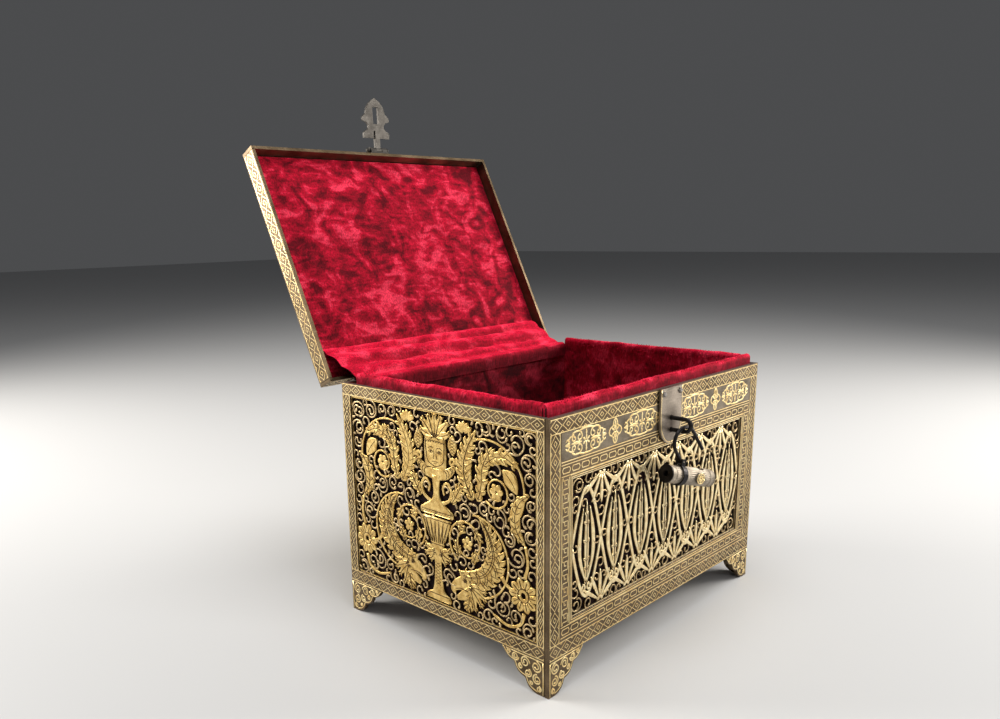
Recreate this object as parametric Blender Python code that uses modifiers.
"""Steel jewellery casket with a hinged lid, a hasp and a small barrel padlock.

Run with: blender --background --python part.py
Lengths are metres. +Z is up, +X runs to the right along the front and +Y runs to the back.
The casket stands on its feet at z = 0, with the lid open and the padlock hanging open.
"""

import math

import bmesh
import bpy
from mathutils import Matrix, Vector

MM = 0.001

# Casket body
CASKET_WIDTH = 205 * MM
CASKET_DEPTH = 152 * MM
RIM_HEIGHT = 140 * MM
WALL = 2.3 * MM
SEAT_GAP = 0.3 * MM
FOOT_HEIGHT = 19 * MM
FOOT_WIDTH = 27 * MM
FOOT_TIP = 5 * MM
FOOT_LOBES = 3
FOOT_LOBE_SWELL = 1.6 * MM

# Borders round the pierced fields, and the pierced sheets themselves
FRONT_SIDE_BORDER = 18 * MM
FRONT_TOP_BORDER = 31.5 * MM
FRONT_BOTTOM_BORDER = 17.5 * MM
END_BACK_BORDER = 7 * MM
END_FRONT_BORDER = 5 * MM
END_TOP_BORDER = 7 * MM
END_BOTTOM_BORDER = 7.5 * MM
LID_BORDER = 12 * MM
PIERCED_SHEET = 1.0 * MM
PIERCED_SET_BACK = 0.6 * MM
SCROLL_PITCH = 44 * MM
SCROLL_BAR = 2.2 * MM
SCROLL_BLADES = 5
SCROLL_TWIST = math.radians(63)
SCROLL_EYE_SHARE = 0.22
SCROLL_BLADE_SHARE = 0.95

# Floor and velvet lining
FLOOR_LIFT = 1.0 * MM
FLOOR_SHEET = 1.5 * MM
FLOOR_BOARD = 2.4 * MM
FLOOR_VELVET = 2.5 * MM
LINER_SLACK = 0.6 * MM
LINER_BOARD = 2.4 * MM
VELVET_OUTER = 1.0 * MM
VELVET_INNER = 2.0 * MM
VELVET_TOP = 1.8 * MM
VELVET_FLAP = 9 * MM
VELVET_RISE = 6 * MM
BACK_VELVET_DROP = 1.0 * MM

# Lid
LID_DEPTH = 11 * MM
LID_SKIRT = 2.0 * MM
LID_TOP_SHEET = 1.6 * MM
LID_CARD = 0.8 * MM
LID_VELVET = 1.2 * MM
LID_OPEN = math.radians(116)

# Back hinges
HINGE_OUT = 5.0 * MM
HINGE_DROP = 3.5 * MM
HINGE_INSET = 30 * MM
HINGE_WIDTH = 26 * MM
HINGE_LEAF = 1.2 * MM
HINGE_WALL_LEAF_DROP = 22 * MM
HINGE_LID_LEAF_RISE = 10 * MM
KNUCKLE_RADIUS = 2.6 * MM
HINGE_PIN_RADIUS = 1.2 * MM
PIN_HEAD_RADIUS = 2.1 * MM
PIN_HEAD_TOP_RADIUS = 1.5 * MM
PIN_HEAD = 1.2 * MM
HINGE_WEB = 2.6 * MM
HINGE_WEB_INSET = 0.4 * MM
HINGE_LID_LEAF_LIFT = 1.2 * MM
RIVET_RADIUS = 1.5 * MM
RIVET_TOP_RADIUS = 0.9 * MM
RIVET_HEIGHT = 0.8 * MM
RIVET_TO_EDGE = 2.0 * MM

# Velvet strip across the hinge line
GUSSET_SHEET = 1.0 * MM
GUSSET_FOLDS = 3
GUSSET_FOLD_HEIGHT = 1.1 * MM
GUSSET_FOLD_SKEW = 0.6
GUSSET_FOLD_START = 0.5
GUSSET_FOLD_END = 0.95
GUSSET_FOLD_FADE = 0.15
GUSSET_DROP = 7 * MM
GUSSET_REACH = 22 * MM
GUSSET_STANDOFF = 1.3 * MM

# Hasp on the lid's front skirt
HASP_LENGTH = 34.5 * MM
HASP_SHEET = 1.6 * MM
HASP_NECK = 4 * MM
HASP_EYE_WIDTH = 4.6 * MM
HASP_SLOT_WIDTH = 5 * MM
HASP_SLOT_START = 5.8 * MM
HASP_SLOT_END = 16.6 * MM
HASP_PIVOT_OUT = 3.6 * MM
HASP_PIVOT_RISE = 3.0 * MM
HASP_EYE_RADIUS = 2.1 * MM
HASP_PIN_RADIUS = 0.9 * MM
HASP_PIN_HEAD_RADIUS = 1.9 * MM
HASP_BRACKET_WIDTH = 15 * MM
HASP_BRACKET_SHEET = 0.9 * MM
HASP_OPEN = math.radians(67)
# Half of the hasp's outline: distance below its point, and half width there
HASP_OUTLINE = (
    (0, 0), (3.0, 4.6), (6.2, 7.6), (7.2, 7.0), (9.6, 9.4), (13.4, 11.8), (14.8, 8.4),
    (17.0, 6.5), (19.4, 8.2), (22.5, 10.7), (25.6, 9.4),
)

# Lock plate and staple on the front wall
LOCK_PLATE_WIDTH = 22 * MM
LOCK_PLATE_DROP = 31 * MM
LOCK_PLATE_SHOULDER = 19 * MM
LOCK_PLATE_SHEET = 1.2 * MM
LOCK_RIVET_INSET = 3.0 * MM
STAPLE_RADIUS = 1.2 * MM
STAPLE_HALF_HEIGHT = 3.3 * MM
STAPLE_REACH = 14.5 * MM

# Barrel padlock. Along the barrel, lengths count from the shackle's pivot.
SHACKLE_RADIUS = 1.0 * MM
BOW_RADIUS = 7.9 * MM
BOW_RISE = 7.2 * MM
SHACKLE_EYE_RADIUS = 1.4 * MM
PIVOT_PIN_RADIUS = 0.5 * MM
BARREL_RADIUS = 5 * MM
BARREL_BORE = 3.5 * MM
BARREL_LEFT = 9 * MM
BARREL_RIGHT = 24 * MM
BARREL_PORT_RADIUS = 2.6 * MM
SHACKLE_LEG_IN_BORE = 2.0 * MM
BARREL_CAP = 2.0 * MM
CAP_LIP = 0.5 * MM
KEYHOLE_RADIUS = 1.7 * MM
COLLAR_WALL = 0.5 * MM
COLLAR_WIDTH = 3.2 * MM
LUG_CHEEK = 1.0 * MM
LUG_WIDTH = 3.0 * MM
LUG_TOP = 1.4 * MM
MEDALLION_RADIUS = 3.2 * MM
MEDALLION_SHEET = 0.5 * MM
MEDALLION_ALONG = 12 * MM
BOLT_RADIUS = 0.9 * MM
BOLT_SPRING_SHEET = 0.4 * MM
BOLT_SPRING_WIDTH = 2.4 * MM
PADLOCK_TURN = math.radians(12)
SHACKLE_LEAN = math.radians(35)
PADLOCK_OPEN = math.radians(49.5)

# Places worked out from the sizes above
HALF_WIDTH = CASKET_WIDTH / 2
HALF_DEPTH = CASKET_DEPTH / 2
LID_RIM = RIM_HEIGHT + SEAT_GAP
FLOOR_TOP = FOOT_HEIGHT + FLOOR_LIFT + FLOOR_SHEET
VELVET_START = LINER_SLACK
BOARD_START = VELVET_START + VELVET_OUTER + SEAT_GAP
INNER_VELVET_START = BOARD_START + LINER_BOARD + SEAT_GAP
LINING = INNER_VELVET_START + VELVET_INNER
HINGE_AXIS = Vector((0, HALF_DEPTH + HINGE_OUT, RIM_HEIGHT - HINGE_DROP))
HASP_AXIS = Vector((0, -HALF_DEPTH - HASP_PIVOT_OUT, LID_RIM + HASP_PIVOT_RISE))
STAPLE_HEIGHT = HASP_AXIS.z - HASP_LENGTH + (HASP_SLOT_START + HASP_SLOT_END) / 2
STAPLE_BEND = STAPLE_REACH - STAPLE_RADIUS - STAPLE_HALF_HEIGHT
HANG_POINT = Vector((
    0,
    -HALF_DEPTH - STAPLE_BEND,
    STAPLE_HEIGHT - STAPLE_HALF_HEIGHT + STAPLE_RADIUS + SEAT_GAP + SHACKLE_RADIUS,
))
COLLAR_RADIUS = BARREL_RADIUS + SEAT_GAP + COLLAR_WALL
PIVOT_HEIGHT = COLLAR_RADIUS + SEAT_GAP + SHACKLE_EYE_RADIUS
SHACKLE_FREE_LEG_DROP = PIVOT_HEIGHT - BARREL_BORE + SHACKLE_LEG_IN_BORE

# Edges sharper than this stay crisp
SMOOTH_UNDER = math.radians(35)

# Turns that stand a flat outline up: facing the front, or lying across the casket's side
QUARTER = math.pi / 2
FACE_FRONT = Matrix.Rotation(QUARTER, 4, "X")
FACE_SIDE = Matrix.Rotation(QUARTER, 4, "Z") @ FACE_FRONT
ALONG_X = Matrix.Rotation(QUARTER, 4, "Y")
ALONG_Y = Matrix.Rotation(-QUARTER, 4, "X")

# Colour, roughness and metallic value of each finish
FINISHES = {
    "browned_steel": ((0.10, 0.075, 0.05), 0.45, 1.0),
    "gilt_openwork": ((0.62, 0.45, 0.20), 0.35, 1.0),
    "bare_steel": ((0.33, 0.30, 0.28), 0.35, 1.0),
    "black_iron": ((0.012, 0.010, 0.010), 0.50, 0.8),
    "barrel_steel": ((0.27, 0.24, 0.22), 0.30, 1.0),
    "gold": ((0.80, 0.58, 0.22), 0.25, 1.0),
    "maroon_board": ((0.012, 0.003, 0.004), 0.90, 0.0),
    "red_velvet": ((0.50, 0.010, 0.035), 0.95, 0.0),
}


# Scene and object helpers
def clear_scene():
    for obj in list(bpy.data.objects):
        bpy.data.objects.remove(obj, do_unlink=True)


def new_collection(name):
    collection = bpy.data.collections.new(name)
    bpy.context.scene.collection.children.link(collection)
    return collection


def new_empty(name, parent, location, rotation=(0, 0, 0)):
    empty = bpy.data.objects.new(name, None)
    empty.empty_display_size = 0.02
    empty.parent = parent
    empty.location = location
    empty.rotation_euler = rotation
    PARTS.objects.link(empty)
    return empty


def add_part(name, mesh, finish, parent, location=(0, 0, 0), rotation=(0, 0, 0)):
    colour, roughness, metallic = FINISHES[finish]
    material = bpy.data.materials.new(f"{name}_{finish}")
    material.use_nodes = True
    shader = material.node_tree.nodes["Principled BSDF"]
    shader.inputs["Base Color"].default_value = (*colour, 1)
    shader.inputs["Roughness"].default_value = roughness
    shader.inputs["Metallic"].default_value = metallic
    mesh.materials.clear()
    mesh.materials.append(material)
    mesh.shade_smooth()
    mesh.set_sharp_from_angle(angle=SMOOTH_UNDER)
    mesh.name = name
    obj = bpy.data.objects.new(name, mesh)
    obj.parent = parent
    obj.location = location
    obj.rotation_euler = rotation
    PARTS.objects.link(obj)
    return obj


# Mesh helpers
def scratch_object(data):
    obj = bpy.data.objects.new("scratch", data)
    obj.hide_render = True
    obj.display_type = "WIRE"
    CUTTERS.objects.link(obj)
    return obj


def welded(mesh):
    shape = bmesh.new()
    shape.from_mesh(mesh)
    bmesh.ops.remove_doubles(shape, verts=shape.verts, dist=1e-6)
    bmesh.ops.recalc_face_normals(shape, faces=shape.faces)
    shape.to_mesh(mesh)
    shape.free()
    return mesh


def evaluated_mesh(obj):
    depsgraph = bpy.context.evaluated_depsgraph_get()
    mesh = bpy.data.meshes.new_from_object(obj.evaluated_get(depsgraph))
    bpy.data.objects.remove(obj, do_unlink=True)
    return welded(mesh)


def moved(mesh, *matrices):
    for matrix in matrices:
        mesh.transform(matrix)
    return mesh


def shifted(x=0.0, y=0.0, z=0.0):
    return Matrix.Translation((x, y, z))


def combined(mesh, tool, operation):
    body = scratch_object(mesh)
    cutter = scratch_object(tool)
    modifier = body.modifiers.new("combine", "BOOLEAN")
    modifier.operation = operation
    modifier.object = cutter
    result = evaluated_mesh(body)
    bpy.data.objects.remove(cutter, do_unlink=True)
    return result


def box_mesh(size_x, size_y, size_z):
    shape = bmesh.new()
    bmesh.ops.create_cube(shape, size=1)
    bmesh.ops.scale(shape, vec=(size_x, size_y, size_z), verts=shape.verts)
    mesh = bpy.data.meshes.new("box")
    shape.to_mesh(mesh)
    shape.free()
    return mesh


def rod_mesh(radius, length, sides, tip_radius=None):
    shape = bmesh.new()
    bmesh.ops.create_cone(
        shape, cap_ends=True, segments=sides, depth=length,
        radius1=radius, radius2=radius if tip_radius is None else tip_radius,
    )
    mesh = bpy.data.meshes.new("rod")
    shape.to_mesh(mesh)
    shape.free()
    return mesh


def sheet_mesh(outlines, thickness):
    """Flat sheet in XY, centred on z = 0. The first outline is the edge, and the others are holes."""
    curve = bpy.data.curves.new("outline", "CURVE")
    curve.dimensions = "2D"
    curve.fill_mode = "BOTH"
    curve.extrude = thickness / 2
    for outline in outlines:
        spline = curve.splines.new("POLY")
        spline.points.add(len(outline) - 1)
        for point, (x, y) in zip(spline.points, outline):
            point.co = (x, y, 0, 1)
        spline.use_cyclic_u = True
    return evaluated_mesh(scratch_object(curve))


def wire_mesh(points, radius):
    curve = bpy.data.curves.new("wire", "CURVE")
    curve.dimensions = "3D"
    curve.bevel_depth = radius
    curve.bevel_resolution = 2
    curve.use_fill_caps = True
    spline = curve.splines.new("POLY")
    spline.points.add(len(points) - 1)
    for point, place in zip(spline.points, points):
        point.co = (*place, 1)
    return evaluated_mesh(scratch_object(curve))


def turned_mesh(profile, steps, closed=False):
    """Shape turned about Z. The profile's (radius, height) points run down its outer side."""
    shape = bmesh.new()
    points = [shape.verts.new((radius, 0, height)) for radius, height in profile]
    for first, second in zip(points, points[1:] + points[:1] * closed):
        shape.edges.new((first, second))
    mesh = bpy.data.meshes.new("profile")
    shape.to_mesh(mesh)
    shape.free()
    obj = scratch_object(mesh)
    screw = obj.modifiers.new("turn", "SCREW")
    screw.steps = steps
    screw.render_steps = steps
    screw.use_merge_vertices = True
    screw.merge_threshold = 0.00001
    return evaluated_mesh(obj)


# Outlines
def rectangle(width, height, x=0.0, y=0.0):
    left, right = x - width / 2, x + width / 2
    low, high = y - height / 2, y + height / 2
    return [(left, low), (right, low), (right, high), (left, high)]


def arc(x, y, radius, start, end, steps):
    angles = [start + (end - start) * step / steps for step in range(steps + 1)]
    return [(x + radius * math.cos(angle), y + radius * math.sin(angle)) for angle in angles]


def circle(x, y, radius, sides):
    """Polygon whose flat sides touch the circle, so that a round pin of that radius fits in it."""
    reach = radius / math.cos(math.pi / sides)
    return arc(x, y, reach, 0, 2 * math.pi, sides)[:-1]


def mirrored(half):
    """Closes a right-hand half outline, given from one end of the middle line to the other."""
    left = [(-x, y) for x, y in reversed(half) if x > 0]
    return list(half) + left


def foot_edge():
    """Lobed edge of a bracket foot, from its tip up to the wall's lower edge."""
    start, end = Vector((FOOT_TIP, 0)), Vector((FOOT_WIDTH, FOOT_HEIGHT))
    along = (end - start) / FOOT_LOBES
    outward = Vector((along.y, -along.x)).normalized()
    points = [tuple(start)]
    for lobe in range(FOOT_LOBES):
        for share in (0.25, 0.5, 0.75, 1):
            swell = FOOT_LOBE_SWELL * math.sin(math.pi * share)
            points.append(tuple(start + along * (lobe + share) + outward * swell))
    return points


def wall_outline(length):
    """Wall plate with a bracket foot sawn at each end of its lower edge."""
    half = length / 2
    foot = [(half - x, z) for x, z in foot_edge()]
    right = list(reversed(foot)) + [(half, 0), (half, RIM_HEIGHT)]
    return right + [(-x, z) for x, z in reversed(right)]


def scroll_holes(width, height):
    """Pinwheels of curved openings, which turn opposite ways on either side of the middle."""
    columns = max(1, round(width / SCROLL_PITCH))
    rows = max(1, round(height / SCROLL_PITCH))
    cell_x, cell_y = width / columns, height / rows
    reach_x, reach_y = (cell_x - SCROLL_BAR) / 2, (cell_y - SCROLL_BAR) / 2
    bar_share = SCROLL_BAR / min(reach_x, reach_y)
    inner_share = SCROLL_EYE_SHARE + bar_share
    holes = []

    def place(radius, angle):
        across, up = reach_x * radius * math.cos(angle), reach_y * radius * math.sin(angle)
        return (centre_x + across, centre_y + up)

    for column in range(columns):
        turn = SCROLL_TWIST if column < columns / 2 else -SCROLL_TWIST
        for row in range(rows):
            centre_x = (column + 0.5) * cell_x - width / 2
            centre_y = (row + 0.5) * cell_y - height / 2
            holes.append([place(SCROLL_EYE_SHARE, 2 * math.pi * side / 8) for side in range(8)])
            for blade in range(SCROLL_BLADES):
                middle = 2 * math.pi * blade / SCROLL_BLADES
                leading, trailing = [], []
                for share in (0, 0.5, 1):
                    radius = inner_share + (SCROLL_BLADE_SHARE - inner_share) * share
                    spread = math.pi / SCROLL_BLADES - bar_share / 2 / radius
                    leading.append(place(radius, middle + turn * share + spread))
                    trailing.append(place(radius, middle + turn * share - spread))
                holes.append(trailing + leading[::-1])
    return holes


def pierced_mesh(width, height):
    outer = rectangle(width - 2 * SEAT_GAP, height - 2 * SEAT_GAP)
    inner_width = width - 2 * SEAT_GAP - SCROLL_BAR
    inner_height = height - 2 * SEAT_GAP - SCROLL_BAR
    return sheet_mesh([outer] + scroll_holes(inner_width, inner_height), PIERCED_SHEET)


# Walls, with their pierced sheets. The front plate covers the side plates, which cover the back plate.
def add_walls():
    field_width = CASKET_WIDTH - 2 * FRONT_SIDE_BORDER
    low = FOOT_HEIGHT + FRONT_BOTTOM_BORDER
    field_height = RIM_HEIGHT - FRONT_TOP_BORDER - low
    field_z = low + field_height / 2
    window = rectangle(field_width, field_height, 0, field_z)
    leg_holes = [
        circle(0, STAPLE_HEIGHT + side * STAPLE_HALF_HEIGHT, STAPLE_RADIUS + SEAT_GAP, 8)
        for side in (-1, 1)
    ]
    back_length = CASKET_WIDTH - 2 * (WALL + SEAT_GAP)
    middle = HALF_DEPTH - WALL / 2
    sheet_middle = HALF_DEPTH - PIERCED_SET_BACK - PIERCED_SHEET / 2
    plates = (("front", -1, CASKET_WIDTH, leg_holes), ("back", 1, back_length, []))
    for name, side, length, holes in plates:
        wall = moved(sheet_mesh([wall_outline(length), window] + holes, WALL), FACE_FRONT)
        add_part(f"{name}_wall", wall, "browned_steel", ROOT, (0, side * middle, 0))
        sheet = moved(pierced_mesh(field_width, field_height), FACE_FRONT)
        place = (0, side * sheet_middle, field_z)
        add_part(f"{name}_openwork", sheet, "gilt_openwork", ROOT, place)

    length = CASKET_DEPTH - WALL - SEAT_GAP
    plate_y = HALF_DEPTH - length / 2
    field_width = length - END_BACK_BORDER - END_FRONT_BORDER
    field_y = (END_FRONT_BORDER - END_BACK_BORDER) / 2
    low = FOOT_HEIGHT + END_BOTTOM_BORDER
    field_height = RIM_HEIGHT - END_TOP_BORDER - low
    field_z = low + field_height / 2
    window = rectangle(field_width, field_height, field_y, field_z)
    middle = HALF_WIDTH - WALL / 2
    sheet_middle = HALF_WIDTH - PIERCED_SET_BACK - PIERCED_SHEET / 2
    for name, side in (("left", -1), ("right", 1)):
        wall = moved(sheet_mesh([wall_outline(length), window], WALL), FACE_SIDE)
        add_part(f"{name}_wall", wall, "browned_steel", ROOT, (side * middle, plate_y, 0))
        sheet = moved(pierced_mesh(field_width, field_height), FACE_SIDE)
        place = (side * sheet_middle, plate_y + field_y, field_z)
        add_part(f"{name}_openwork", sheet, "gilt_openwork", ROOT, place)


# Floor, lining boards and velvet
def add_floor():
    inside_x = CASKET_WIDTH - 2 * (WALL + SEAT_GAP)
    inside_y = CASKET_DEPTH - 2 * (WALL + SEAT_GAP)
    plate = box_mesh(inside_x, inside_y, FLOOR_SHEET)
    add_part("bottom_plate", plate, "bare_steel", ROOT, (0, 0, FLOOR_TOP - FLOOR_SHEET / 2))
    lined_x = CASKET_WIDTH - 2 * (WALL + LINING + SEAT_GAP)
    lined_y = CASKET_DEPTH - 2 * (WALL + LINING + SEAT_GAP)
    board_z = FLOOR_TOP + SEAT_GAP + FLOOR_BOARD / 2
    board = box_mesh(lined_x, lined_y, FLOOR_BOARD)
    add_part("floor_board", board, "maroon_board", ROOT, (0, 0, board_z))
    velvet_z = board_z + FLOOR_BOARD / 2 + SEAT_GAP + FLOOR_VELVET / 2
    velvet = box_mesh(lined_x, lined_y, FLOOR_VELVET)
    add_part("floor_velvet", velvet, "red_velvet", ROOT, (0, 0, velvet_z))


def velvet_section(top, bottom):
    """Velvet wrapped over a board: across is the way in from the wall's inner face."""
    radius = (LINING - VELVET_START) / 2
    over = arc(VELVET_START + radius, top - radius, radius, 0, math.pi, 8)
    flap = top - VELVET_FLAP
    inner_top = top - VELVET_TOP
    outer_side = VELVET_START + VELVET_OUTER
    return over + [
        (VELVET_START, flap), (outer_side, flap), (outer_side, inner_top),
        (INNER_VELVET_START, inner_top), (INNER_VELVET_START, bottom), (LINING, bottom),
    ]


def add_lining():
    bottom = FLOOR_TOP + SEAT_GAP
    long_run = CASKET_WIDTH - 2 * (WALL + LINER_SLACK)
    short_run = CASKET_DEPTH - 2 * (WALL + LINING + SEAT_GAP)
    front_top = RIM_HEIGHT + VELVET_RISE
    back_top = RIM_HEIGHT - BACK_VELVET_DROP
    sides = (
        ("front", QUARTER, (0, -HALF_DEPTH + WALL, 0), long_run, front_top),
        ("back", -QUARTER, (0, HALF_DEPTH - WALL, 0), long_run, back_top),
        ("left", 0, (-HALF_WIDTH + WALL, 0, 0), short_run, front_top),
        ("right", 2 * QUARTER, (HALF_WIDTH - WALL, 0, 0), short_run, front_top),
    )
    for name, turn, place, run, top in sides:
        board_top = top - VELVET_TOP - SEAT_GAP
        middle = BOARD_START + LINER_BOARD / 2
        section = rectangle(LINER_BOARD, board_top - bottom, middle, (board_top + bottom) / 2)
        board = moved(sheet_mesh([section], run), FACE_FRONT)
        add_part(f"{name}_liner_board", board, "maroon_board", ROOT, place, (0, 0, turn))
        velvet = moved(sheet_mesh([velvet_section(top, bottom)], run), FACE_FRONT)
        add_part(f"{name}_velvet", velvet, "red_velvet", ROOT, place, (0, 0, turn))


# Lid, modelled as closed and turned open by its hinge axis
def in_lid(x, y, z):
    return Vector((x, y, z)) - HINGE_AXIS


def add_lid():
    skirt_z = LID_RIM + LID_DEPTH / 2
    long_skirt = (CASKET_WIDTH, LID_SKIRT, LID_DEPTH)
    short_skirt = (LID_SKIRT, CASKET_DEPTH - 2 * (LID_SKIRT + SEAT_GAP), LID_DEPTH)
    skirts = (
        ("front", long_skirt, 0, -HALF_DEPTH + LID_SKIRT / 2),
        ("back", long_skirt, 0, HALF_DEPTH - LID_SKIRT / 2),
        ("left", short_skirt, -HALF_WIDTH + LID_SKIRT / 2, 0),
        ("right", short_skirt, HALF_WIDTH - LID_SKIRT / 2, 0),
    )
    for name, size, x, y in skirts:
        add_part(f"lid_{name}_skirt", box_mesh(*size), "browned_steel", LID, in_lid(x, y, skirt_z))
    inside_x = CASKET_WIDTH - 2 * (LID_SKIRT + SEAT_GAP)
    inside_y = CASKET_DEPTH - 2 * (LID_SKIRT + SEAT_GAP)
    field_x, field_y = inside_x - 2 * LID_BORDER, inside_y - 2 * LID_BORDER
    top_z = LID_RIM + LID_DEPTH - LID_TOP_SHEET / 2
    top = sheet_mesh([rectangle(inside_x, inside_y), rectangle(field_x, field_y)], LID_TOP_SHEET)
    add_part("lid_top", top, "browned_steel", LID, in_lid(0, 0, top_z))
    add_part("lid_openwork", pierced_mesh(field_x, field_y), "gilt_openwork", LID, in_lid(0, 0, top_z))
    card_z = top_z - LID_TOP_SHEET / 2 - SEAT_GAP - LID_CARD / 2
    card = box_mesh(inside_x, inside_y, LID_CARD)
    add_part("lid_board", card, "maroon_board", LID, in_lid(0, 0, card_z))
    velvet_z = card_z - LID_CARD / 2 - SEAT_GAP - LID_VELVET / 2
    velvet = box_mesh(inside_x, inside_y, LID_VELVET)
    add_part("lid_velvet", velvet, "red_velvet", LID, in_lid(0, 0, velvet_z))
    return velvet_z - LID_VELVET / 2


# Back hinges. Their sections are drawn round the pin, as (back, up).
def knuckled_leaf(plate, web_low, web_high, bore, knuckle_gaps):
    """Flat leaf with a bored knuckle on a web along one edge, and gaps cut in that knuckle."""
    root = (plate[0][0] + plate[1][0]) / 2
    facing = math.atan2((web_low + web_high) / 2, root)
    round_side = arc(0, 0, KNUCKLE_RADIUS, facing + QUARTER, facing + 3 * QUARTER, 10)
    web = [(root, web_high), (root, web_low)]
    knuckle = moved(sheet_mesh([round_side + web], HINGE_WIDTH), FACE_SIDE)
    knuckle = combined(knuckle, moved(rod_mesh(bore, 2 * HINGE_WIDTH, 16), ALONG_X), "DIFFERENCE")
    for centre, gap in knuckle_gaps:
        cutter = moved(box_mesh(gap, 4 * HINGE_OUT, 4 * HINGE_OUT), shifted(x=centre))
        knuckle = combined(knuckle, cutter, "DIFFERENCE")
    leaf = moved(sheet_mesh([plate], HINGE_WIDTH - HINGE_LEAF), FACE_SIDE)
    return combined(leaf, knuckle, "UNION")


def add_rivet(name, parent, x, y, z, outward):
    """Flat-topped rivet head seated on a face at y, whose normal is along Y."""
    head = rod_mesh(RIVET_RADIUS, RIVET_HEIGHT, 10, RIVET_TOP_RADIUS)
    head = moved(head, ALONG_Y if outward > 0 else FACE_FRONT)
    middle = y + outward * (SEAT_GAP + RIVET_HEIGHT / 2)
    add_part(name, head, "bare_steel", parent, (x, middle, z))


def add_hinges():
    near = SEAT_GAP - HINGE_OUT
    far = near + HINGE_LEAF
    wall_low = HINGE_DROP - HINGE_WALL_LEAF_DROP
    wall_top = -KNUCKLE_RADIUS - HINGE_LEAF
    lid_low = HINGE_DROP + HINGE_LID_LEAF_LIFT
    lid_top = HINGE_DROP + HINGE_LID_LEAF_RISE
    wall_plate = [(near, wall_low), (far, wall_low), (far, wall_top), (near, wall_top)]
    lid_plate = [(near, lid_low), (far, lid_low), (far, lid_top), (near, lid_top)]
    bore = (HINGE_PIN_RADIUS + SEAT_GAP) / math.cos(math.pi / 16)
    third = HINGE_WIDTH / 3
    wide_gaps = [(side * (third + SEAT_GAP), third + 2 * SEAT_GAP) for side in (-1, 1)]
    pin_half = HINGE_WIDTH / 2 + SEAT_GAP
    pin_end = pin_half + PIN_HEAD
    head = [(0, pin_end), (PIN_HEAD_TOP_RADIUS, pin_end), (PIN_HEAD_RADIUS, pin_half)]
    upper = head + [(HINGE_PIN_RADIUS, pin_half)]
    pin_profile = upper + [(radius, -height) for radius, height in reversed(upper)]
    wall_web = (wall_top - HINGE_WEB, wall_top - HINGE_WEB_INSET)
    lid_web = (lid_low + HINGE_WEB_INSET, lid_low + HINGE_WEB)
    middle_gap = [(0, third + SEAT_GAP)]
    wall_rivet_z = (wall_low + wall_web[0]) / 2
    lid_rivet_z = lid_top - RIVET_TO_EDGE
    for name, side in (("left", -1), ("right", 1)):
        x = side * (HALF_WIDTH - HINGE_INSET)
        wall_leaf = knuckled_leaf(wall_plate, *wall_web, bore, middle_gap)
        place = (x, HINGE_AXIS.y, HINGE_AXIS.z)
        add_part(f"{name}_hinge_wall_leaf", wall_leaf, "bare_steel", ROOT, place)
        lid_leaf = knuckled_leaf(lid_plate, *lid_web, bore, wide_gaps)
        add_part(f"{name}_hinge_lid_leaf", lid_leaf, "bare_steel", LID, (x, 0, 0))
        pin = moved(turned_mesh(pin_profile, 16), ALONG_X)
        add_part(f"{name}_hinge_pin", pin, "bare_steel", ROOT, place)
        for number, offset in ((1, -third), (2, third)):
            rivet_x = x + offset
            face, height = HINGE_AXIS.y + far, HINGE_AXIS.z + wall_rivet_z
            add_rivet(f"{name}_hinge_wall_rivet_{number}", ROOT, rivet_x, face, height, 1)
            add_rivet(f"{name}_hinge_lid_rivet_{number}", LID, rivet_x, far, lid_rivet_z, 1)


# Velvet strip that joins the lid's lining to the back of the casket
def smooth_path(points, share):
    """Point at a share of the way along a smooth curve through the given points."""
    spans = len(points) - 1
    place = min(share * spans, spans - 1e-9)
    index = int(place)
    t = place - index
    before, start = points[max(index - 1, 0)], points[index]
    end, after = points[index + 1], points[min(index + 2, spans)]
    leave, arrive = (end - before) / 2, (after - start) / 2
    return (
        start * (2 * t**3 - 3 * t**2 + 1) + leave * (t**3 - 2 * t**2 + t)
        + end * (3 * t**2 - 2 * t**3) + arrive * (t**3 - t**2)
    )


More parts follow.
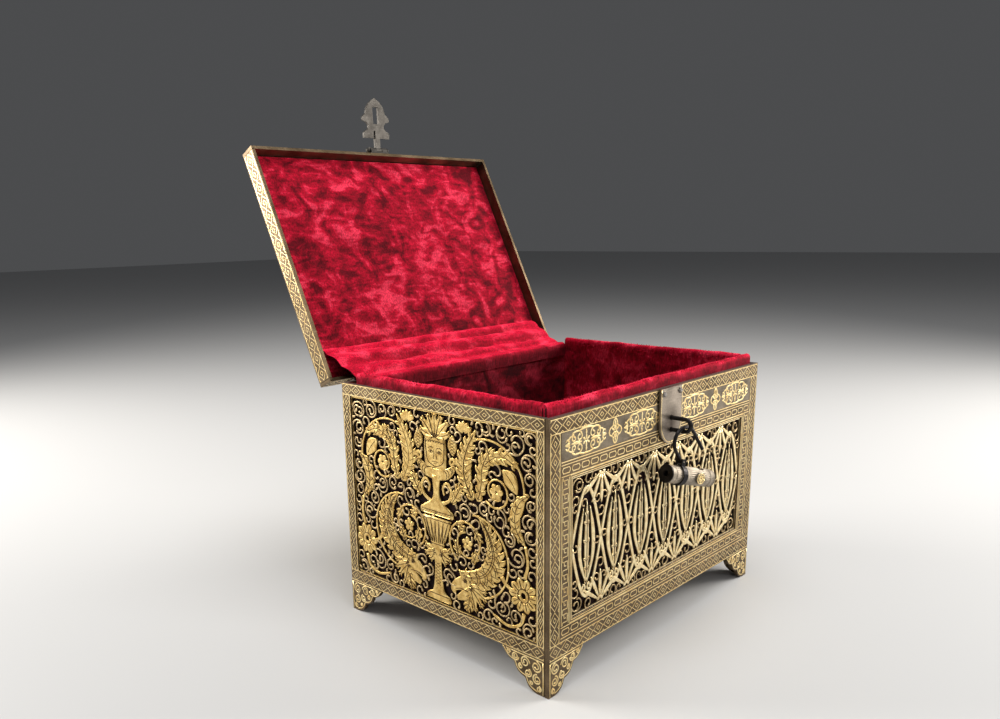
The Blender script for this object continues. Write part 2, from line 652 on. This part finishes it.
def add_gusset(lid_lining_z):
    inner_y = HALF_DEPTH - WALL - LINING - SEAT_GAP - GUSSET_SHEET
    open_lid = Matrix.Rotation(-LID_OPEN, 4, "X")
    lid_point = in_lid(0, HALF_DEPTH - GUSSET_REACH, lid_lining_z - GUSSET_STANDOFF)
    lid_end = HINGE_AXIS + open_lid @ lid_point
    high = RIM_HEIGHT + 2 * GUSSET_STANDOFF
    crown = Vector((0, HALF_DEPTH, high))
    path = [
        Vector((0, inner_y, RIM_HEIGHT - GUSSET_DROP)),
        Vector((0, inner_y, RIM_HEIGHT)),
        Vector((0, inner_y + 2 * GUSSET_SHEET, high)),
        crown,
        crown.lerp(lid_end, 0.5),
        lid_end,
    ]
    narrow = HALF_WIDTH - WALL - LINING - SEAT_GAP * 2
    wide = HALF_WIDTH - LID_SKIRT - LINING / 2
    spread = (wide - narrow) / (lid_end.y - HALF_DEPTH)
    folded = GUSSET_FOLD_END - GUSSET_FOLD_START
    shape = bmesh.new()
    bmesh.ops.create_grid(shape, x_segments=6, y_segments=24, size=0.5)
    for vert in shape.verts:
        across, along = vert.co.x * 2, vert.co.y + 0.5
        point = smooth_path(path, along)
        from_ends = min(along - GUSSET_FOLD_START, GUSSET_FOLD_END - along)
        loose = max(0.0, min(1.0, from_ends / GUSSET_FOLD_FADE))
        turns = GUSSET_FOLDS * (along - GUSSET_FOLD_START) / folded
        fold = math.sin(2 * math.pi * turns + GUSSET_FOLD_SKEW * across)
        half = narrow + spread * max(0.0, point.y - HALF_DEPTH)
        lift = GUSSET_FOLD_HEIGHT * loose * fold
        vert.co = (half * across, point.y, point.z + lift)
    bmesh.ops.recalc_face_normals(shape, faces=shape.faces)
    mesh = bpy.data.meshes.new("gusset")
    shape.to_mesh(mesh)
    shape.free()
    gusset = add_part("velvet_gusset", mesh, "red_velvet", ROOT)
    solid = gusset.modifiers.new("thickness", "SOLIDIFY")
    solid.thickness = GUSSET_SHEET
    solid.offset = 0


# Lock plate and staple on the front wall
def add_lock_plate():
    half = LOCK_PLATE_WIDTH / 2
    shoulder = RIM_HEIGHT - LOCK_PLATE_SHOULDER
    tip = RIM_HEIGHT - LOCK_PLATE_DROP
    quarter_round = arc(0, 0, 1, 0, QUARTER, 5)[:-1]
    taper = [(half * across, shoulder + (tip - shoulder) * down) for across, down in quarter_round]
    outline = mirrored([(half, RIM_HEIGHT)] + taper + [(0, tip)])
    holes = [
        circle(0, STAPLE_HEIGHT + side * STAPLE_HALF_HEIGHT, STAPLE_RADIUS + SEAT_GAP, 8)
        for side in (-1, 1)
    ]
    plate = moved(sheet_mesh([outline] + holes, LOCK_PLATE_SHEET), FACE_FRONT)
    face = -HALF_DEPTH - SEAT_GAP - LOCK_PLATE_SHEET
    add_part("lock_plate", plate, "bare_steel", ROOT, (0, face + LOCK_PLATE_SHEET / 2, 0))
    rivet_z = RIM_HEIGHT - LOCK_RIVET_INSET
    for number, side in ((1, -1), (2, 1)):
        rivet_x = side * (half - LOCK_RIVET_INSET)
        add_rivet(f"lock_plate_rivet_{number}", ROOT, rivet_x, face, rivet_z, -1)

    bend_y = -HALF_DEPTH - STAPLE_BEND
    bend = arc(bend_y, STAPLE_HEIGHT, STAPLE_HALF_HEIGHT, QUARTER, 3 * QUARTER, 10)
    root_y = -HALF_DEPTH + WALL
    high, low = STAPLE_HEIGHT + STAPLE_HALF_HEIGHT, STAPLE_HEIGHT - STAPLE_HALF_HEIGHT
    path = [(root_y, high)] + bend + [(root_y, low)]
    staple = wire_mesh([(0, y, z) for y, z in path], STAPLE_RADIUS)
    add_part("staple", staple, "black_iron", ROOT)


# Hasp, its bracket and its pin
def add_hasp():
    base = HASP_PIVOT_OUT - SEAT_GAP
    face = base - HASP_BRACKET_SHEET
    low = SEAT_GAP - HASP_PIVOT_RISE
    high = LID_DEPTH - HASP_PIVOT_RISE - SEAT_GAP
    plate = rectangle(HASP_BRACKET_SHEET, high - low, (base + face) / 2, (low + high) / 2)
    knuckle = arc(0, 0, HASP_EYE_RADIUS, QUARTER, 3 * QUARTER, 8)
    root = (base + face) / 2
    ear_section = knuckle + [(root, -HASP_EYE_RADIUS), (root, HASP_EYE_RADIUS)]
    ears = moved(sheet_mesh([ear_section], HASP_BRACKET_WIDTH - HASP_BRACKET_SHEET), FACE_SIDE)
    bore = (HASP_PIN_RADIUS + SEAT_GAP) / math.cos(math.pi / 12)
    ears = combined(ears, moved(rod_mesh(bore, 2 * HASP_BRACKET_WIDTH, 12), ALONG_X), "DIFFERENCE")
    gap = box_mesh(HASP_EYE_WIDTH + 2 * SEAT_GAP, 4 * HASP_PIVOT_OUT, 4 * HASP_PIVOT_OUT)
    ears = combined(ears, gap, "DIFFERENCE")
    bracket = combined(moved(sheet_mesh([plate], HASP_BRACKET_WIDTH), FACE_SIDE), ears, "UNION")
    place = HASP_AXIS - HINGE_AXIS
    add_part("hasp_bracket", bracket, "bare_steel", LID, place)

    half = HASP_BRACKET_WIDTH / 2 + SEAT_GAP
    head = HASP_PIN_HEAD_RADIUS
    knob = [(radius, half + height) for height, radius in arc(0, 0, head, 0, QUARTER, 3)]
    knob[0] = (0, half + head)
    upper = knob + [(HASP_PIN_RADIUS, half)]
    profile = upper + [(radius, -height) for radius, height in reversed(upper)]
    pin = moved(turned_mesh(profile, 12), ALONG_X)
    add_part("hasp_pin", pin, "bare_steel", LID, place)

    edge = [(half_width * MM, below * MM - HASP_LENGTH) for below, half_width in HASP_OUTLINE]
    neck_end = -HASP_EYE_RADIUS / 2
    neck = [(HASP_NECK / 2, edge[-1][1]), (HASP_NECK / 2, neck_end)]
    outline = mirrored(edge + neck + [(0, neck_end)])
    slot_half = HASP_SLOT_WIDTH / 2
    slot_low = HASP_SLOT_START - HASP_LENGTH + slot_half
    slot_high = HASP_SLOT_END - HASP_LENGTH - slot_half
    slot = arc(0, slot_high, slot_half, 0, math.pi, 6)
    slot += arc(0, slot_low, slot_half, math.pi, 2 * math.pi, 6)
    sheet = moved(sheet_mesh([outline, slot], HASP_SHEET), FACE_FRONT)
    eye = moved(rod_mesh(HASP_EYE_RADIUS, HASP_EYE_WIDTH, 16), ALONG_X)
    hasp = combined(sheet, eye, "UNION")
    hasp = combined(hasp, moved(rod_mesh(bore, 2 * HASP_EYE_WIDTH, 12), ALONG_X), "DIFFERENCE")
    add_part("hasp", hasp, "bare_steel", HASP)


# Padlock. In its own frame X runs along the barrel and Z up the shackle, from the shackle's pivot.
def add_shackle():
    plumb = Vector((math.sin(SHACKLE_LEAN), 0, math.cos(SHACKLE_LEAN)))
    bow_top = Vector((BOW_RADIUS, 0, BOW_RISE)) + BOW_RADIUS * plumb
    bow = arc(BOW_RADIUS, BOW_RISE, BOW_RADIUS, math.pi, 0, 14)
    path = [(0, SHACKLE_EYE_RADIUS / 2)] + bow + [(2 * BOW_RADIUS, -SHACKLE_FREE_LEG_DROP)]
    wire = wire_mesh([(x, 0, z) for x, z in path], SHACKLE_RADIUS)
    eye = moved(rod_mesh(SHACKLE_EYE_RADIUS, 2 * SHACKLE_RADIUS, 12), ALONG_Y)
    bore = (PIVOT_PIN_RADIUS + SEAT_GAP) / math.cos(math.pi / 12)
    shackle = combined(wire, eye, "UNION")
    shackle = combined(shackle, moved(rod_mesh(bore, 6 * SHACKLE_RADIUS, 12), ALONG_Y), "DIFFERENCE")
    add_part("padlock_shackle", moved(shackle, Matrix.Translation(-bow_top)), "black_iron", SHACKLE)
    return -bow_top


def add_barrel():
    middle = -PIVOT_HEIGHT
    outer = [(BARREL_RADIUS, BARREL_RIGHT), (BARREL_RADIUS, -BARREL_LEFT)]
    bore = [(BARREL_BORE, -BARREL_LEFT), (BARREL_BORE, BARREL_RIGHT)]
    case = moved(turned_mesh(outer + bore, 24, closed=True), ALONG_X, shifted(z=middle))
    port = rod_mesh(BARREL_PORT_RADIUS, 2 * BARREL_RADIUS, 12)
    port = moved(port, shifted(2 * BOW_RADIUS, 0, middle + BARREL_RADIUS))
    add_part("padlock_barrel", combined(case, port, "DIFFERENCE"), "barrel_steel", BARREL)

    # End caps: a plug inside the bore and a lip that covers the tube's end
    plug = BARREL_BORE - SEAT_GAP
    lip_end = SEAT_GAP + CAP_LIP
    key_cap = [
        (BARREL_RADIUS, lip_end), (BARREL_RADIUS, SEAT_GAP), (plug, SEAT_GAP), (plug, -BARREL_CAP),
        (KEYHOLE_RADIUS, -BARREL_CAP), (KEYHOLE_RADIUS, lip_end),
    ]
    blind_cap = [
        (0, lip_end), (BARREL_RADIUS, lip_end), (BARREL_RADIUS, SEAT_GAP), (plug, SEAT_GAP),
        (plug, -BARREL_CAP), (0, -BARREL_CAP),
    ]
    left = turned_mesh(key_cap, 20, closed=True)
    left = moved(left, ALONG_X.inverted(), shifted(-BARREL_LEFT, 0, middle))
    right = moved(turned_mesh(blind_cap, 20), ALONG_X, shifted(BARREL_RIGHT, 0, middle))
    add_part("padlock_key_cap", left, "barrel_steel", BARREL)
    add_part("padlock_end_cap", right, "barrel_steel", BARREL)

    # Collar round the barrel, with two cheeks that hold the shackle's pivot
    inner = BARREL_RADIUS + SEAT_GAP
    half = COLLAR_WIDTH / 2
    ring = [(COLLAR_RADIUS, half), (COLLAR_RADIUS, -half), (inner, -half), (inner, half)]
    collar = moved(turned_mesh(ring, 24, closed=True), ALONG_X, shifted(z=middle))
    cheek_low = inner + COLLAR_WALL / 2 - PIVOT_HEIGHT
    cheek_inside = SHACKLE_RADIUS + SEAT_GAP
    for side in (-1, 1):
        cheek = box_mesh(LUG_WIDTH, LUG_CHEEK, LUG_TOP - cheek_low + COLLAR_WALL)
        centre_z = (LUG_TOP + cheek_low - COLLAR_WALL) / 2
        cheek = moved(cheek, shifted(0, side * (cheek_inside + LUG_CHEEK / 2), centre_z))
        clear = moved(rod_mesh(inner, 4 * COLLAR_WIDTH, 24), ALONG_X, shifted(z=middle))
        cheek = combined(cheek, clear, "DIFFERENCE")
        collar = combined(collar, cheek, "UNION")
    bore = (PIVOT_PIN_RADIUS + SEAT_GAP) / math.cos(math.pi / 12)
    collar = combined(collar, moved(rod_mesh(bore, 8 * LUG_CHEEK, 12), ALONG_Y), "DIFFERENCE")
    add_part("padlock_collar", collar, "black_iron", BARREL)
    pin = moved(rod_mesh(PIVOT_PIN_RADIUS, 2 * (cheek_inside + LUG_CHEEK), 10), ALONG_Y)
    add_part("padlock_pivot_pin", pin, "bare_steel", BARREL)

    # Gold medallion on the front of the barrel, saddled to its curve
    saddle = BARREL_RADIUS + SEAT_GAP
    place = shifted(MEDALLION_ALONG, 0, middle)
    disc = rod_mesh(MEDALLION_RADIUS, 2 * BARREL_RADIUS, 16)
    disc = moved(disc, ALONG_Y, shifted(y=-BARREL_RADIUS), place)
    outer = moved(rod_mesh(saddle + MEDALLION_SHEET, BARREL_RIGHT, 32), ALONG_X, place)
    inside = moved(rod_mesh(saddle, 2 * BARREL_RIGHT, 32), ALONG_X, place)
    medallion = combined(combined(outer, disc, "INTERSECT"), inside, "DIFFERENCE")
    add_part("padlock_medallion", medallion, "gold", BARREL)

    # Locking bolt between the caps, with a leaf spring above and below it
    bolt_start = -BARREL_LEFT + BARREL_CAP + SEAT_GAP
    bolt_end = BARREL_RIGHT - BARREL_CAP - SEAT_GAP
    bolt_middle = (bolt_start + bolt_end) / 2
    bolt = rod_mesh(BOLT_RADIUS, bolt_end - bolt_start, 10)
    bolt = moved(bolt, ALONG_X, shifted(bolt_middle, 0, middle))
    add_part("padlock_bolt", bolt, "bare_steel", BARREL)
    spring_end = 2 * BOW_RADIUS - BARREL_PORT_RADIUS - SEAT_GAP
    lift = BOLT_RADIUS + SEAT_GAP + BOLT_SPRING_SHEET / 2
    for name, side in (("lower", -1), ("upper", 1)):
        leaf = box_mesh(spring_end - bolt_start, BOLT_SPRING_WIDTH, BOLT_SPRING_SHEET)
        place = ((bolt_start + spring_end) / 2, 0, middle + side * lift)
        add_part(f"padlock_{name}_spring", leaf, "bare_steel", BARREL, place)


def centre_on_floor():
    """Puts the origin under the middle of the open casket's bounding box."""
    bpy.context.view_layer.update()
    solids = [obj for obj in PARTS.objects if obj.type == "MESH"]
    reach = [(obj.matrix_world @ vert.co).y for obj in solids for vert in obj.data.vertices]
    ROOT.location.y = -(min(reach) + max(reach)) / 2


clear_scene()
PARTS = new_collection("jewellery_casket")
CUTTERS = new_collection("cutters")
ROOT = new_empty("casket_origin", None, (0, 0, 0))
LID = new_empty("lid_axis", ROOT, HINGE_AXIS, (-LID_OPEN, 0, 0))
HASP = new_empty("hasp_axis", LID, HASP_AXIS - HINGE_AXIS, (-HASP_OPEN, 0, 0))
SHACKLE = new_empty("shackle_axis", ROOT, HANG_POINT, (0, -SHACKLE_LEAN, -PADLOCK_TURN))
add_walls()
add_floor()
add_lining()
LID_LINING_HEIGHT = add_lid()
add_hinges()
add_gusset(LID_LINING_HEIGHT)
add_lock_plate()
add_hasp()
PIVOT_PLACE = add_shackle()
BARREL = new_empty("barrel_axis", SHACKLE, PIVOT_PLACE, (0, PADLOCK_OPEN, 0))
add_barrel()
centre_on_floor()
